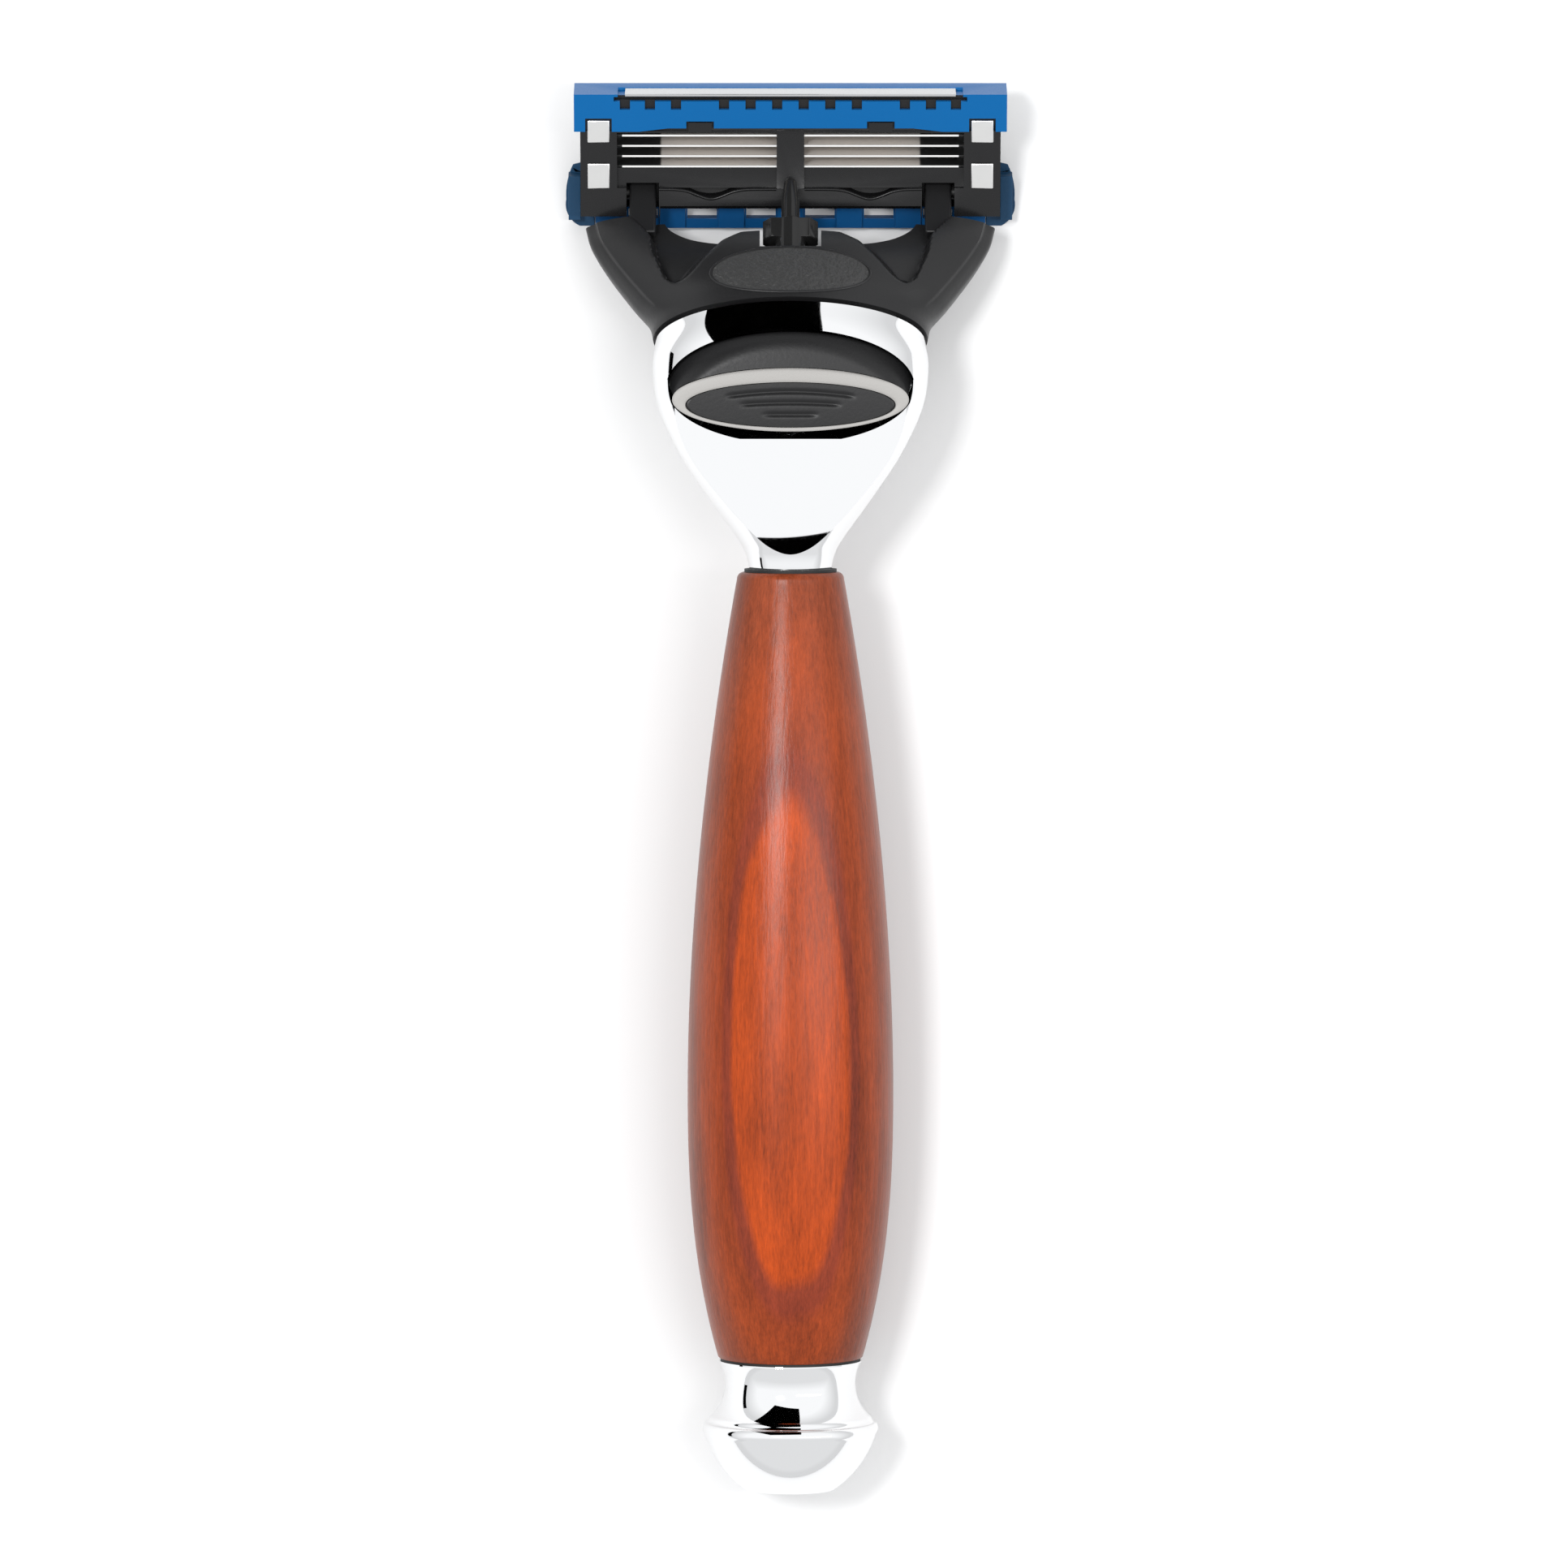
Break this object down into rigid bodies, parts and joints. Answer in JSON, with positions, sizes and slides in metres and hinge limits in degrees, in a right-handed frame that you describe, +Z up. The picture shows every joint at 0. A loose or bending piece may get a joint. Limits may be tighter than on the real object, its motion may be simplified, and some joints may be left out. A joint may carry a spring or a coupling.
{
  "type": "cartridge razor",
  "caption": "Wet shaving razor with a turned wood grip, a polished metal head with an eject button, and a pivoting multi-blade cartridge on a release connector.",
  "frame": {"origin": "centre of the footprint on the table the razor rests on, shaving face down", "axes": "+Y along the handle from the end cap to the cartridge, +X across, +Z up, away from the shaving face"},
  "size_m": [0.0444, 0.1382, 0.021],
  "materials": {
    "wood": "oiled satin, plum red with darker growth rings",
    "chrome": "polished chrome plate",
    "gasket_rubber": "matt black rubber",
    "rod_steel": "plain turned steel",
    "spring_steel": "drawn spring wire",
    "black_plastic": "satin black plastic",
    "gloss_black_plastic": "glossy black plastic",
    "matte_silver": "matt silver grey paint",
    "pad_black": "satin black soft-touch plastic",
    "housing_black": "fine moulded black plastic",
    "blue_plastic": "satin blue plastic",
    "blue_elastomer": "soft blue elastomer",
    "blue_metallic_plastic": "metallic blue plastic",
    "clip_aluminium": "rolled aluminium strip",
    "lubricating_strip": "waxy pale blue strip",
    "blade_steel": "ground stainless steel",
    "support_steel": "stamped stainless steel"
  },
  "bodies": {
    "handle": {"wood_grip": "wood", "end_cap": "chrome", "end_gasket": "gasket_rubber", "neck_gasket": "gasket_rubber", "tie_rod": "rod_steel", "head_shell": "chrome", "docking_insert": "black_plastic", "plunger_collar": "gloss_black_plastic", "plunger_spring": "spring_steel", "button_spring": "spring_steel"},
    "button": {"eject_button": "gloss_black_plastic", "button_trim": "matte_silver", "button_pad": "pad_black", "ejector": "black_plastic"},
    "plunger": {"plunger": "black_plastic"},
    "connector": {"connector": "black_plastic"},
    "blade_unit": {"cartridge_housing": "housing_black", "guard_comb": "blue_plastic", "guard_fins": "blue_elastomer", "blade_clip_left": "clip_aluminium", "blade_clip_right": "clip_aluminium", "lubricating_strip": "lubricating_strip", "trimmer_carrier": "blue_metallic_plastic", "trimmer_blade": "blade_steel", "blade_1": "blade_steel", "blade_support_1": "support_steel", "blade_2": "blade_steel", "blade_support_2": "support_steel", "blade_3": "blade_steel", "blade_support_3": "support_steel", "blade_4": "blade_steel", "blade_support_4": "support_steel", "blade_5": "blade_steel", "blade_support_5": "support_steel"}
  },
  "joints": [
    {"name": "cartridge_release", "type": "slide", "parent": "handle", "child": "connector", "axis": [0, 0.866, -0.5], "range_m": [0, 0.016]},
    {"name": "head_pivot", "type": "hinge", "parent": "connector", "child": "blade_unit", "pos_m": [0, 0.05845, 0.00362], "axis": [1, 0, 0], "range_deg": [0, 45], "stiffness_Nm_per_rad": 0.02, "springref_deg": -8.59},
    {"name": "plunger_slide", "type": "slide", "parent": "handle", "child": "plunger", "axis": [0, -0.866, 0.5], "range_m": [0, 0.00215], "deforming": ["plunger_spring"]},
    {"name": "button_slide", "type": "slide", "parent": "handle", "child": "button", "axis": [0, 0.866, -0.5], "range_m": [0, 0.002], "stiffness_N_per_m": 400, "springref_m": -0.0005, "deforming": ["button_spring"]}
  ],
  "couplings": [
    {"joint": "plunger_slide", "follows": "head_pivot", "m_per_rad": 0.0027}
  ]
}
